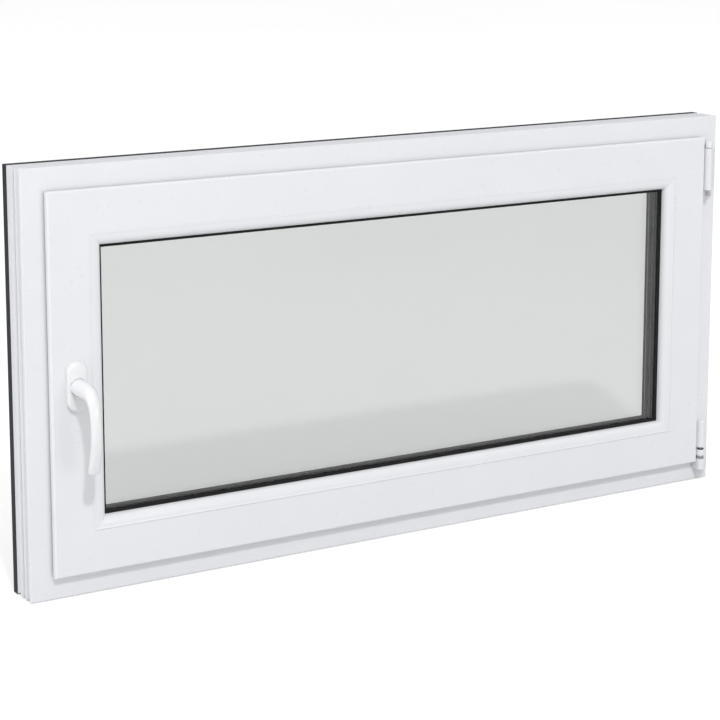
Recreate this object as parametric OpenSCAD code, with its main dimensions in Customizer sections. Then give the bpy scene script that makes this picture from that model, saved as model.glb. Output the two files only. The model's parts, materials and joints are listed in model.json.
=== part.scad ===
/* [Window] */
// Overall width of the fixed frame
win_w = 1200; // [900:10:1500]
// Overall height of the fixed frame
win_h = 600; // [560:10:900]
// Depth of the fixed frame, room face to outside face
frame_d = 60; // [60:1:64]

/* [Frame profile] */
// Height of the frame bar, outer edge to rebate face
frame_h = 40; // [38:1:41]
// Height of the outside stop, measured from the outer edge
stop_h = 62; // [61:1:66]
// Depth of the stop's front face behind the room face
stop_y = 48; // [47:1:48]
// Depth of the fixing grooves in the outer edge
groove_d = 2.5; // [2:0.5:5]

/* [Sash profile] */
// Outer edge of the sash overlap, measured from the frame's outer edge
sash_edge = 32; // [31:1:33]
// Outer edge of the sash body inside the rebate
sash_body = 52; // [51:1:53]
// Bottom of the glazing rebate
glaze_base = 92; // [90:1:94]
// Inner edge of the outside glazing leg
glaze_leg = 112; // [110:1:113]
// How far the sash stands proud of the frame's room face
sash_proud = 13; // [12:1:14]
// Room-side gap between the sash overlap and the frame face
overlap_gap = 3.5; // [3:0.1:4]
// Back face of the sash, behind the frame's room face
sash_back = 44; // [43:1:45]

/* [Glass] */
// Thickness of one pane
pane_t = 4; // [3:1:5]
// Width of the space between the panes
cavity_t = 16; // [12:1:16]
// Edge of the glass, measured from the frame's outer edge
glass_edge = 97; // [96:1:98]

/* [Hinge] */
// Distance of the hinge pin from the frame's hinge-side outer edge
pin_in = 25.5; // [25:0.1:26]
// Distance of the hinge pin in front of the frame's room face
pin_out = 14; // [13.5:0.1:14.5]
// Radius of the hinge pins
pin_r = 3; // [2.5:0.1:3]
// Radius of the hinge covers round the pin
hinge_cover_r = 6.1; // [6:0.1:6.1]
// Height of the tilt axis above the sill
tilt_z = 41; // [40:1:42]
// Distance of the tilt axis in front of the frame's room face
tilt_out = 7.25; // [7.2:0.05:7.4]
// Length of the stay arm, hinge pin to stud
stay_len = 300; // [200:10:400]

/* [Handle] */
// Distance of the handle's axis from the frame's outer edge
handle_in = 68; // [67.5:0.5:68.5]
// Length of the handle's cover plate
rose_l = 70; // [66:1:74]
// Width of the handle's cover plate
rose_w = 30; // [28:1:32]
// Thickness of the handle's cover plate
rose_t = 10; // [9:1:11]

/* [Hidden] */
$fn = 48;

// Colours of the real parts
upvc_white = [0.92, 0.92, 0.94];
anthracite = [0.22, 0.23, 0.25];
zinc_steel = [0.72, 0.74, 0.76];
black_rubber = [0.08, 0.08, 0.08];
seal_grey = [0.2, 0.2, 0.21];
clear_glass = [0.75, 0.8, 0.78, 0.35];
packer_blue = [0.25, 0.4, 0.6];

// Sides of the window, used as the first argument of on_side()
SILL = 0;
HEAD = 1;
HANDLE = 2;
HINGE = 3;

// The bars are drawn lying on the sill side: X along the bar, Y into the wall from the frame's
// room face and Z (called u) from the frame's outer edge towards the glass.
film = 0.5;
steel_t = 1.5;
weld_reach = 130;
glass_y = 2;
unit_y = glass_y + 2 * pane_t + cavity_t;
leg_y = unit_y + 4;
gasket_u = sash_edge + 2.5;
gasket_w = 3.5;

// Hardware groove in the sash edge: faceplate seat and rod channel
seat_d = 2.7;
seat_y = [4, 20];
rod_channel_d = 10;
rod_channel_y = [6, 18];
plate_t = 2.5;
plate_y = [seat_y[0] + 0.2, seat_y[1] - 0.2];
rod_t = 2.6;
rod_u = sash_body + 3;
rod_y = [7.5, 16.5];
cam_y = 12;
cam_r = 3.5;
cam_shaft_r = 2.5;
cam_tip_u = sash_body - 6.8;

// Gear between handle and rods: 18 teeth at a 4 mm pitch, 18 mm of rod per quarter turn
gear_teeth = 18;
gear_pitch = 4;
gear_r = gear_teeth * gear_pitch / (2 * PI);
rod_travel = gear_r * PI;
handle_x = -win_w / 2 + handle_in;
handle_z = win_h / 2;
screw_gap = 21.5;
spindle_w = 7;

// Where the cams stand while the window is locked
cams_side_z = [160, win_h - 130];
cam_top_x = -250;
cams_bottom_x = [-300, 200];
rod_start = win_w / 2 - 76;

// Hinge pin axis
pin_x = win_w / 2 - pin_in;
stay_z = win_h - 47.8;
stay_t = 4;
stud_x = pin_x - stay_len;
stay_bearing_z = [win_h - 114, win_h - 52];
corner_bearing_z = [22, 53];
band_cover_z = [57.5, 102];

// Screws of the strike plates and of the bearings, with the play in their pilot holes
pilot_play = 0.05;
strike_screw_r = 1.9;
strike_head_r = 3.5;
strike_screw_gap = 24;
strike_half = 32;
strike_t = 3.6;
bearing_screw_r = 2.1;
bearing_head_r = 3.9;

// Bearings and their covers
plate_end = 13.8;
bearing_t = 3;
lug_r = 4.9;
cover_wall = 0.9;
cover_w = 15;

// Fixing holes to the wall
fixing_r = 3.75;
fixing_y = 31;
jamb_fix_z = [190, win_h - 190];
head_fix_x = [-(win_w / 2 - 190), 0, win_w / 2 - 190];

function side_len(side) = side < 2 ? win_w : win_h;

// Points of a round arris from angle a0 to a1, and of a curve that starts towards q and ends at r
function arc_pts(c, r, a0, a1, n = 6) =
    [for (i = [0:n]) let (a = a0 + (a1 - a0) * i / n) c + r * [cos(a), sin(a)]];
function bezier(p, q, r, n) =
    [for (i = [0:n]) let (t = i / n) (1 - t) * (1 - t) * p + 2 * t * (1 - t) * q + t * t * r];

// Moves geometry measured from the frame's room face to the origin at mid depth
module in_frame() {
    translate([0, -frame_d / 2, 0]) children();
}

// Turns a bar or a fitting drawn on the sill side to another side
module on_side(side) {
    if (side == SILL) children();
    if (side == HEAD) translate([0, 0, win_h]) rotate([0, 180, 0]) children();
    if (side == HANDLE) translate([-win_w / 2, 0, win_h / 2]) rotate([0, 90, 0]) children();
    if (side == HINGE) translate([win_w / 2, 0, win_h / 2]) rotate([0, -90, 0]) children();
}

// Box between two corners
module block(low, high) {
    translate(low) cube(high - low);
}

// A profile run along X with a 45 degree mitre at each end
module mitred(length) {
    intersection() {
        rotate([0, -90, 0]) translate([0, 0, -length / 2]) linear_extrude(length) children();
        rotate([90, 0, 0]) translate([0, 0, -frame_d * 2]) linear_extrude(frame_d * 4)
            polygon([[-length / 2, 0], [length / 2, 0], [length / 2 - weld_reach, weld_reach],
                     [-length / 2 + weld_reach, weld_reach]]);
    }
}

module bar(side) {
    on_side(side) mitred(side_len(side)) children();
}

// Closed rectangular ring parallel to the frame's outer edge
module ring(u, y) {
    difference() {
        block([-win_w / 2 + u[0], y[0], u[0]], [win_w / 2 - u[0], y[1], win_h - u[0]]);
        block([-win_w / 2 + u[1], y[0] - 1, u[1]], [win_w / 2 - u[1], y[1] + 1, win_h - u[1]]);
    }
}

// Cylinder along Y
module round_y(x, z, r, y) {
    translate([x, y[0], z]) rotate([-90, 0, 0]) cylinder(h = y[1] - y[0], r = r);
}

// Cylinder along Z on the hinge axis or elsewhere
module round_z(x, y, r, z) {
    translate([x, y, z[0]]) cylinder(h = z[1] - z[0], r = r);
}

// Cylinder along X
module round_x(y, z, r, x) {
    translate([x[0], y, z]) rotate([0, 90, 0]) cylinder(h = x[1] - x[0], r = r);
}

// Cylinder standing on a side, along u
module round_u(side, along, y, r, u) {
    on_side(side) translate([along, y, u[0]]) cylinder(h = u[1] - u[0], r = r);
}

// Position along a side for a height on a stile, or for an X on a rail
function along_side(side, p) =
    side == SILL ? p : side == HEAD ? -p : side == HANDLE ? win_h / 2 - p : p - win_h / 2;

// ---------------------------------------------------------------- fixed frame

module frame_section() {
    back = frame_d - film;
    difference() {
        polygon(concat(
            arc_pts([1.2, 1.2], 1.2, 180, 270),
            arc_pts([frame_h - 1.5, 1.5], 1.5, 270, 360),
            [[frame_h, stop_y], [stop_h, stop_y], [stop_h, stop_y + 1], [stop_h - film, stop_y + 1],
             [stop_h - film, back - 3.7], [stop_h - film - 3.7, back], [film, back],
             [film, frame_d - 13], [groove_d, frame_d - 13], [groove_d, 35], [0, 35], [0, 27],
             [groove_d, 27], [groove_d, 20], [0, 20], [0, 14], [groove_d, 14], [groove_d, 5], [0, 5]]));
        translate([groove_d + 2.5, 3]) square([frame_h - groove_d - 5.5, 6.5]);
        translate([groove_d + 2.5, 12]) square([frame_h - groove_d - 6, stop_y - 14.5]);
        translate([3.5, stop_y + 2.5]) square([stop_h - 8, frame_d - stop_y - 6]);
    }
}

module frame_film_section() {
    back = frame_d;
    polygon([[0, frame_d - 13], [0, back], [stop_h - 3.8, back], [stop_h, back - 3.8],
             [stop_h, stop_y + 1], [stop_h - film, stop_y + 1], [stop_h - film, back - 3.7],
             [stop_h - film - 3.7, back - film], [film, back - film], [film, frame_d - 13]]);
}

// Holes for the wall fixings through a frame bar
module fixing_holes(side, places) {
    for (p = places) round_u(side, along_side(side, p), fixing_y, fixing_r, [-1, frame_h + 1]);
}

// The strike screws' shanks, or their pilot holes when there is play round them
module strike_shanks(play, top) {
    for (s = strikes, d = [-strike_screw_gap, strike_screw_gap])
        round_u(s[0], along_side(s[0], s[1] + d), cam_y, strike_screw_r + play, [frame_h - 9, frame_h + top]);
}

module strike_heads(play, top) {
    seat = [frame_h + 1.6, frame_h + top];
    for (s = strikes, d = [-strike_screw_gap, strike_screw_gap])
        round_u(s[0], along_side(s[0], s[1] + d), cam_y, strike_head_r + play, seat);
}

// Side and centre of each strike plate: half a travel from the locked cam
strikes = concat(
    [for (z = cams_side_z) [HANDLE, z - rod_travel / 2]],
    [[HEAD, cam_top_x - rod_travel / 2]],
    [for (x = cams_bottom_x) [SILL, x + rod_travel / 2]]);

// Slots that let water out of the rebate, each under a cap
drain_x = [-win_w / 3, 0, win_w / 3];
drain_half = 12;

module drain_slots() {
    for (x = drain_x) block([x - drain_half, frame_d - 8, 12], [x + drain_half, frame_d + 1, 17]);
}

module frame_sill() {
    color(upvc_white) in_frame() difference() {
        bar(SILL) frame_section();
        strike_shanks(pilot_play, 1);
        drain_slots();
    }
}

module frame_head() {
    color(upvc_white) in_frame() difference() {
        bar(HEAD) frame_section();
        fixing_holes(HEAD, head_fix_x);
        strike_shanks(pilot_play, 1);
    }
}

module frame_jamb_handle_side() {
    color(upvc_white) in_frame() difference() {
        bar(HANDLE) frame_section();
        fixing_holes(HANDLE, jamb_fix_z);
        strike_shanks(pilot_play, 1);
    }
}

module frame_jamb_hinge_side() {
    color(upvc_white) in_frame() difference() {
        bar(HINGE) frame_section();
        fixing_holes(HINGE, jamb_fix_z);
        bearing_shanks(pilot_play, [-1, 12]);
    }
}

module frame_outside_film() {
    color(anthracite) in_frame() difference() {
        for (side = [SILL:HINGE]) bar(side) frame_film_section();
        drain_slots();
    }
}

// Steel tube inside a bar, between two corners given as [y, u] and cut square at its ends
module steel_tube(side, half, low, high) {
    on_side(side) difference() {
        block([-half, low[0], low[1]], [half, high[0], high[1]]);
        block([-half - 1, low[0] + steel_t, low[1] + steel_t],
              [half + 1, high[0] - steel_t, high[1] - steel_t]);
    }
}

module frame_steel(side) {
    half = side_len(side) / 2 - frame_h - 5;
    steel_tube(side, half, [14.3, groove_d + 2.8], [stop_y - 2.8, frame_h - 3.8]);
}

module frame_steel_long() {
    color(zinc_steel) in_frame() difference() {
        for (side = [SILL, HEAD]) frame_steel(side);
        fixing_holes(HEAD, head_fix_x);
    }
}

module frame_steel_short() {
    color(zinc_steel) in_frame() difference() {
        for (side = [HANDLE, HINGE]) frame_steel(side);
        fixing_holes(HANDLE, jamb_fix_z);
        fixing_holes(HINGE, jamb_fix_z);
    }
}

module frame_stop_gasket() {
    color(black_rubber) in_frame() ring([stop_h - 9, stop_h - 3], [sash_back + 0.6, stop_y]);
}

module strike_plates() {
    color(zinc_steel) in_frame() for (s = strikes) difference() {
        on_side(s[0]) translate([along_side(s[0], s[1]), 0, frame_h]) union() {
            block([-strike_half, 5, 0], [strike_half, 22, strike_t]);
            block([-strike_half, 18.5, 0], [strike_half, 22, 8]);
        }
        strike_shanks(pilot_play, strike_t + 1);
        strike_heads(0.1, strike_t + 1);
    }
}

module strike_screws() {
    color(zinc_steel) in_frame() union() {
        strike_shanks(0, 2);
        strike_heads(0, strike_t - 0.2);
    }
}

// ---------------------------------------------------------------- hinges on the frame

bearing_screw_z = concat([for (dz = [6, 25]) corner_bearing_z[0] + dz],
                         [for (dz = [8, 31, 54]) stay_bearing_z[0] + dz]);
bearing_screw_x = pin_x + 9.8;

// The bearing screws' shanks from y[0] to y[1], or their holes when there is play round them
module bearing_shanks(play, y) {
    for (z = bearing_screw_z) round_y(bearing_screw_x, z, bearing_screw_r + play, y);
}

module bearing_heads(play, y) {
    for (z = bearing_screw_z) round_y(bearing_screw_x, z, bearing_head_r + play, y);
}

module bearing_plate(z) {
    difference() {
        block([pin_x - 3, -bearing_t, z[0]], [pin_x + plate_end, 0, z[1]]);
        bearing_shanks(pilot_play, [-4, 1]);
        bearing_heads(0.1, [-4, -1.6]);
    }
}

// One lug of a bearing, from its plate out to the pin
module bearing_lug(z) {
    round_z(pin_x, -pin_out, lug_r, z);
    block([pin_x - 2, -pin_out, z[0]], [pin_x + 4.5, 0.1 - bearing_t, z[1]]);
}

module corner_bearing() {
    z = corner_bearing_z;
    color(zinc_steel) in_frame() union() {
        bearing_plate([z[0], z[1] - 1]);
        bearing_lug([z[0], tilt_z - 3.2]);
        bearing_lug([tilt_z + 3.2, z[1] - 1.5]);
        round_z(pin_x, -pin_out, pin_r, [z[0], z[1] + 1.8]);
    }
}

// Solid with a hinge cover's outline, set in by wall: round over the pin, then sloping to the edge
module cover_body(wall, back, z) {
    edge_x = pin_x + cover_w;
    translate([0, 0, z[0]]) linear_extrude(z[1] - z[0]) polygon(concat(
        [[pin_x - hinge_cover_r + wall, back]],
        arc_pts([pin_x, -pin_out], hinge_cover_r - wall, 180, 298, 14),
        arc_pts([edge_x - 3.5, 3.5 - pin_out], 3.5 - wall, 298, 360, 6),
        [[edge_x - wall, back]]));
}

// Cover shell over a bearing
module hinge_cover(z) {
    difference() {
        cover_body(0, -0.2, z);
        cover_body(cover_wall, 1, [z[0] - 1, z[1] - 1.2]);
        round_z(pin_x, -pin_out, pin_r + 0.3, [z[0], z[1] + 1]);
    }
}

module corner_bearing_cover() {
    z = corner_bearing_z;
    color(upvc_white) in_frame() difference() {
        hinge_cover([z[0] - 1.5, z[1] + 0.5]);
        // Window in which the link swings round with the sash
        block([pin_x - 20, -pin_out - 20, tilt_z - 2.8], [pin_x + 2.5, 1, tilt_z + 2.8]);
    }
}

module stay_bearing() {
    z = stay_bearing_z;
    color(zinc_steel) in_frame() difference() {
        union() {
            bearing_plate([z[0], z[1] - 1]);
            bearing_lug([z[0] + 1, z[0] + 22]);
            bearing_lug([z[1] - 22, z[1] - 1.5]);
        }
        round_z(pin_x, -pin_out, pin_r + pilot_play, z);
    }
}

module stay_bearing_pin() {
    color(zinc_steel) in_frame()
        round_z(pin_x, -pin_out, pin_r, [stay_bearing_z[0] - 13, stay_z + stay_t]);
}

module stay_bearing_cover() {
    color(upvc_white) in_frame() hinge_cover([stay_bearing_z[0] - 3, stay_bearing_z[1] + 2.4]);
}

module bearing_screws() {
    color(zinc_steel) in_frame() union() {
        bearing_shanks(0, [-2.2, 12]);
        bearing_heads(0, [-3.4, -1.6]);
    }
}

// Washer round the pin's end, low enough for the band cover to dip over it as the sash tilts
module hinge_washer() {
    z = [corner_bearing_z[1] + 0.5, corner_bearing_z[1] + 2];
    color(black_rubber) in_frame() difference() {
        round_z(pin_x, -pin_out, 4.9, z);
        round_z(pin_x, -pin_out, pin_r + 0.05, [z[0] - 1, z[1] + 1]);
    }
}

module drainage_caps() {
    color(anthracite) in_frame() for (x = drain_x) difference() {
        hull() {
            block([x - 17, frame_d, 8], [x + 17, frame_d + 0.5, 22]);
            block([x - 15, frame_d + 0.5, 9], [x + 15, frame_d + 3, 19]);
        }
        block([x - drain_half, frame_d - 1, 7], [x + drain_half, frame_d + 1.8, 16]);
    }
}

// ---------------------------------------------------------------- link that turns but does not tilt

link_axle_r = 2;

module corner_link() {
    color(zinc_steel) in_frame() difference() {
        union() {
            round_z(pin_x, -pin_out, lug_r, [tilt_z - 2.5, tilt_z + 2.5]);
            block([pin_x - 6, -pin_out - 2, tilt_z - 2.5], [pin_x - 1, -pin_out + 10, tilt_z + 2.5]);
            round_x(-tilt_out, tilt_z, link_axle_r, [pin_x - 17.5, pin_x - 5.5]);
        }
        round_z(pin_x, -pin_out, pin_r + 0.05, [tilt_z - 5, tilt_z + 5]);
    }
}

// ---------------------------------------------------------------- sash

module sash_section() {
    front = -sash_proud;
    difference() {
        polygon(concat(
            arc_pts([sash_edge + 3, front + 3], 3, 180, 270),
            [[glaze_base, front], [glaze_base, 1.4], [glaze_base - 2, 1.4], [glaze_base - 2, 3.4],
             [glaze_base, 3.4], [glaze_base, leg_y], [glaze_leg, leg_y], [glaze_leg, leg_y + 1],
             [glaze_leg - film, leg_y + 1], [glaze_leg - film, sash_back - 7.2],
             [glaze_leg - 7.2, sash_back - film], [sash_body + 1, sash_back - film],
             [sash_body + 1, sash_back], [sash_body, sash_back], [sash_body, seat_y[1]],
             [sash_body + seat_d, seat_y[1]], [sash_body + seat_d, rod_channel_y[1]],
             [sash_body + rod_channel_d, rod_channel_y[1]], [sash_body + rod_channel_d, rod_channel_y[0]],
             [sash_body + seat_d, rod_channel_y[0]], [sash_body + seat_d, seat_y[0]],
             [sash_body, seat_y[0]], [sash_body, -overlap_gap], [gasket_u + gasket_w, -overlap_gap],
             [gasket_u + gasket_w, -overlap_gap - 2], [gasket_u, -overlap_gap - 2],
             [gasket_u, -overlap_gap], [sash_edge, -overlap_gap]]));
        translate([sash_edge + 4, front + 2.5]) square([glaze_base - sash_edge - 7, 3]);
        translate([sash_body + 13, -4.5]) square([glaze_base - sash_body - 17, leg_y + 2]);
        translate([sash_body + 3, leg_y]) square([glaze_base - sash_body - 7, sash_back - leg_y - 3]);
        translate([glaze_base - 1, leg_y + 3]) square([14, sash_back - leg_y - 7]);
    }
}

module sash_film_section() {
    polygon([[sash_body + 1, sash_back], [glaze_leg - 7, sash_back], [glaze_leg, sash_back - 7],
             [glaze_leg, leg_y + 1], [glaze_leg - film, leg_y + 1], [glaze_leg - film, sash_back - 7.2],
             [glaze_leg - 7.2, sash_back - film], [sash_body + 1, sash_back - film]]);
}

// Pocket behind the overlap that takes the corner band
module band_pocket() {
    block([win_w / 2 - sash_edge - 13, 2 - sash_proud, tilt_z - 5.6],
          [win_w / 2 - sash_edge + 1, -overlap_gap + 1, tilt_z + 6]);
}

// Pocket and bores that the gearbox, the spindle and the handle screws need in the stile
module gearbox_cuts() {
    u = -win_w / 2 + sash_body;
    block([u + 1, 5, handle_z - 39], [u + 29.5, 19, handle_z + 39]);
    round_y(handle_x, handle_z, 6, [-sash_proud - 1, 6]);
    for (d = [-screw_gap, screw_gap]) round_y(handle_x, handle_z + d, 2.75, [-sash_proud - 1, 6]);
}

module sash_bottom_rail() {
    color(upvc_white) in_frame() difference() {
        bar(SILL) sash_section();
        band_pocket();
    }
}

module sash_top_rail() {
    color(upvc_white) in_frame() bar(HEAD) sash_section();
}

module sash_stile_handle_side() {
    color(upvc_white) in_frame() difference() {
        bar(HANDLE) sash_section();
        gearbox_cuts();
    }
}

module sash_stile_hinge_side() {
    color(upvc_white) in_frame() difference() {
        bar(HINGE) sash_section();
        band_pocket();
    }
}

module sash_outside_film() {
    color(anthracite) in_frame() for (side = [SILL:HINGE]) bar(side) sash_film_section();
}

module sash_steel(side) {
    half = side_len(side) / 2 - glaze_base - 2;
    steel_tube(side, half, [-4.2, sash_body + 13.3], [leg_y - 2.8, glaze_base - 4.3]);
}

module sash_steel_rails() {
    color(zinc_steel) in_frame() for (side = [SILL, HEAD]) sash_steel(side);
}

module sash_steel_stiles() {
    color(zinc_steel) in_frame() difference() {
        for (side = [HANDLE, HINGE]) sash_steel(side);
        gearbox_cuts();
    }
}

module sash_overlap_gasket() {
    color(black_rubber) in_frame() difference() {
        union() {
            ring([gasket_u, gasket_u + gasket_w], [-overlap_gap - 2, -overlap_gap]);
            ring([gasket_u + 0.5, gasket_u + gasket_w - 0.5], [-overlap_gap, -1.6]);
        }
        band_pocket();
        block([win_w / 2 - 45, -6, stay_z - 3], [win_w / 2 - 30, 0, stay_z + stay_t + 3]);
    }
}

// ---------------------------------------------------------------- glazing

module bead_section() {
    back = glass_y - 0.7;
    nose = glaze_leg - 1.4;
    polygon(concat(
        [[glaze_base + 0.3, -sash_proud + 0.7], [glaze_base + 1.2, -sash_proud + 0.1]],
        bezier([glaze_base + 2.2, -sash_proud + 0.2], [nose - 3, -sash_proud + 1], [nose, -2.2], 7),
        [[nose - 4, -2.2], [nose - 4, back], [glaze_base + 3, back], [glaze_base + 3, 3.2],
         [glaze_base - 1.7, 3.2], [glaze_base - 1.7, 1.6], [glaze_base + 0.3, 1.6]]));
}

module bead_bottom() {
    color(upvc_white) in_frame() bar(SILL) bead_section();
}

module bead_top() {
    color(upvc_white) in_frame() bar(HEAD) bead_section();
}

module bead_handle_side() {
    color(upvc_white) in_frame() bar(HANDLE) bead_section();
}

module bead_hinge_side() {
    color(upvc_white) in_frame() bar(HINGE) bead_section();
}

module pane(y) {
    half = win_w / 2 - glass_edge;
    block([-half, y, glass_edge], [half, y + pane_t, win_h - glass_edge]);
}

module inner_pane() {
    color(clear_glass) in_frame() pane(glass_y);
}

module outer_pane() {
    color(clear_glass) in_frame() pane(glass_y + pane_t + cavity_t);
}

module spacer_bar() {
    color(seal_grey) in_frame()
        ring([glass_edge + 5.5, glass_edge + 12], [glass_y + pane_t, glass_y + pane_t + cavity_t]);
}

module glass_edge_seal() {
    color(black_rubber) in_frame()
        ring([glass_edge, glass_edge + 5.5], [glass_y + pane_t, glass_y + pane_t + cavity_t]);
}

module glazing_gasket_inner() {
    nose = glaze_leg - 1;
    lip = nose + 4.2;
    color(black_rubber) in_frame() for (side = [SILL:HINGE]) bar(side)
        polygon([[nose - 4, -1.9], [nose, -1.9], [lip, 0.2], [lip, glass_y], [nose - 4, glass_y]]);
}

module glazing_gasket_outer() {
    color(black_rubber) in_frame() ring([glaze_leg - 5, glaze_leg + 0.2], [unit_y, leg_y]);
}

module glazing_packers() {
    color(packer_blue) in_frame() for (side = [SILL:HINGE], s = [-1, 1])
        on_side(side) translate([s * side_len(side) / (side < 2 ? 3 : 6), 0, 0])
            block([-40, 3.6, glaze_base + 0.1], [40, unit_y - 0.5, glass_edge - 0.1]);
}

// ---------------------------------------------------------------- hardware on the sash

module corner_band() {
    x = win_w / 2 - sash_edge;
    color(zinc_steel) in_frame() difference() {
        block([x - 12.5, 2.2 - sash_proud, tilt_z - 5.2], [x - 0.6, -overlap_gap, tilt_z + 5.6]);
        round_x(-tilt_out, tilt_z, link_axle_r + 0.05, [x - 13, x]);
    }
}

module corner_band_cover() {
    z = band_cover_z;
    color(upvc_white) in_frame() difference() {
        union() {
            round_z(pin_x, -pin_out, hinge_cover_r, z);
            block([win_w / 2 - sash_edge, 1 - sash_proud, z[0]], [pin_x, -5, z[1]]);
        }
        round_z(pin_x, -pin_out, pin_r + 0.8, [z[0] - 1, z[1] - 4]);
    }
}

// Flat plate that closes the groove, with slots for the locking cams
module faceplate(side, ends, cams, moves) {
    difference() {
        on_side(side) block([ends[0], plate_y[0], sash_body], [ends[1], plate_y[1], sash_body + plate_t]);
        for (c = cams) on_side(side)
            block([min(c, c + moves) - 3.2, cam_y - 3.2, sash_body - 1],
                  [max(c, c + moves) + 3.2, cam_y + 3.2, sash_body + 4]);
    }
}

module faceplate_handle_side() {
    color(zinc_steel) in_frame()
        faceplate(HANDLE, [-win_h / 2 + 76, win_h / 2 - 76],
                  [for (z = cams_side_z) along_side(HANDLE, z)], rod_travel);
}

module faceplate_top() {
    color(zinc_steel) in_frame() difference() {
        faceplate(HEAD, [-(stud_x + 60), rod_start], [along_side(HEAD, cam_top_x)], rod_travel);
        block([stud_x - 11, cam_y - 5.5, win_h - sash_body - 5], [stud_x + 11, cam_y + 5.5, win_h]);
    }
}

module faceplate_bottom() {
    color(zinc_steel) in_frame()
        faceplate(SILL, [-rod_start, rod_start - 60], cams_bottom_x, rod_travel);
}

// Angle pieces that lead the rods round the two handle-side corners
module corner_drives() {
    x = -win_w / 2 + sash_body;
    color(zinc_steel) in_frame() for (top = [0, 1])
        translate([0, 0, top * win_h]) mirror([0, 0, top]) union() {
            block([x, plate_y[0], sash_body], [x + 23.7, plate_y[1], sash_body + plate_t]);
            block([x, plate_y[0], sash_body], [x + plate_t, plate_y[1], sash_body + 23.7]);
            block([x + 2, 6.3, sash_body + 2], [x + 9.6, 17.7, sash_body + 9.6]);
        }
}

module gearbox_housing() {
    x = -win_w / 2 + sash_body;
    color(zinc_steel) in_frame() difference() {
        block([x + 6.2, 5.5, handle_z - 38.5], [x + 29, 18.5, handle_z + 38.5]);
        round_y(handle_x, handle_z, gear_r + 2, [8.5, 15.5]);
        round_y(handle_x, handle_z, 5.6, [4, 20]);
        for (d = [-screw_gap, screw_gap]) round_y(handle_x, handle_z + d, 2.5, [4, 20]);
    }
}

// Outline with round ends, standing upright on the handle's axis
module stadium(w, l) {
    for (s = [-1, 1]) translate([0, s * (l - w) / 2]) circle(r = w / 2);
    square([w, l - w], center = true);
}

// Lifts handle parts to the sash face: local Z points into the room, local Y up
module on_handle() {
    in_frame() translate([handle_x, -sash_proud, handle_z]) rotate([90, 0, 0]) children();
}

collar_r = 8;
neck_r = 12;

module handle_base() {
    color(upvc_white) on_handle() difference() {
        linear_extrude(7) stadium(rose_w - 3, rose_l - 3);
        translate([0, 0, -1]) cylinder(h = 9, r = collar_r + 0.05);
        for (d = [-screw_gap, screw_gap]) translate([0, d, -1]) {
            cylinder(h = 9, r = 2.5);
            translate([0, 0, 5.2]) cylinder(h = 4, r = 4.6);
        }
    }
}

module handle_cover() {
    color(upvc_white) on_handle() difference() {
        union() {
            linear_extrude(rose_t - 2) stadium(rose_w, rose_l);
            linear_extrude(rose_t - 1) stadium(rose_w - 1.2, rose_l - 1.2);
            linear_extrude(rose_t) stadium(rose_w - 3, rose_l - 3);
        }
        translate([0, 0, -1]) linear_extrude(rose_t - 1.2 + 1) stadium(rose_w - 2.4, rose_l - 2.4);
        cylinder(h = rose_t + 1, r = neck_r + 0.4);
    }
}

module handle_screws() {
    color(zinc_steel) on_handle() for (d = [-screw_gap, screw_gap]) translate([0, d, 0]) {
        translate([0, 0, -31]) cylinder(h = 37, r = 2.4);
        translate([0, 0, 5.2]) cylinder(h = 1.7, r = 4.5);
    }
}

// ---------------------------------------------------------------- handle

// Centre line of the lever: distance from the sash face, height from the axis,
// half width across and half thickness of the section there
lever_line = [
    [20, 0, 11.8, 11.8], [33, 0, 11.2, 11.6], [45, -2, 10, 10.6], [54, -9, 8.8, 8.6],
    [60, -22, 7.9, 6.8], [63, -40, 7.4, 6], [63.5, -60, 7.5, 5.7], [61, -80, 7.9, 5.5],
    [56.5, -97, 8.3, 5.2], [53.2, -107, 8.1, 4.9], [52.2, -109.5, 6.6, 3.9],
    [51.7, -110.6, 3.2, 1.9]
];
lever_sides = 16;
lever_steps = 3;

// Point at t between b and c on the smooth curve through a, b, c and d
function catmull(a, b, c, d, t) =
    0.5 * (2 * b + (c - a) * t + (2 * a - 5 * b + 4 * c - d) * pow(t, 2)
           + (3 * b - a - 3 * c + d) * pow(t, 3));

lever_path = [for (i = [0:len(lever_line) - 2], k = [0:lever_steps - 1])
                 catmull(lever_line[max(i - 1, 0)], lever_line[i], lever_line[i + 1],
                         lever_line[min(i + 2, len(lever_line) - 1)], k / lever_steps),
              lever_line[len(lever_line) - 1]];

// Direction of the centre line at ring i, in the plane of the lever
function lever_dir(i) =
    let (a = lever_path[max(i - 1, 0)], b = lever_path[min(i + 1, len(lever_path) - 1)],
         v = [b[0] - a[0], b[1] - a[1]])
    v / norm(v);

function lever_ring(i) =
    let (p = lever_path[i], v = i == 0 ? [1, 0] : lever_dir(i))
    [for (k = [0:lever_sides - 1]) let (a = 360 * k / lever_sides, s = p[3] * sin(a))
        [p[2] * cos(a), p[1] + v[0] * s, p[0] - v[1] * s]];

module lever_body() {
    n = len(lever_path);
    points = [for (i = [0:n - 1]) each lever_ring(i)];
    sides = [for (i = [0:n - 2], k = [0:lever_sides - 1])
                let (a = i * lever_sides, b = a + lever_sides, m = (k + 1) % lever_sides)
                [a + k, b + k, b + m, a + m]];
    polyhedron(points, concat(
        [for (q = sides) each [[q[0], q[1], q[2]], [q[0], q[2], q[3]]]],
        [[for (k = [0:lever_sides - 1]) k]],
        [[for (k = [lever_sides - 1:-1:0]) (n - 1) * lever_sides + k]]));
}

module handle_lever() {
    color(upvc_white) on_handle() union() {
        difference() {
            union() {
                translate([0, 0, 1]) cylinder(h = 7, r = collar_r);
                translate([0, 0, 7.4]) cylinder(h = 14, r = neck_r);
            }
            translate([-spindle_w / 2, -spindle_w / 2, 0]) cube([spindle_w, spindle_w, 18]);
        }
        lever_body();
    }
}

module handle_spindle() {
    color(zinc_steel) on_handle()
        translate([-spindle_w / 2, -spindle_w / 2, -30]) cube([spindle_w, spindle_w, 48]);
}

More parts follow.
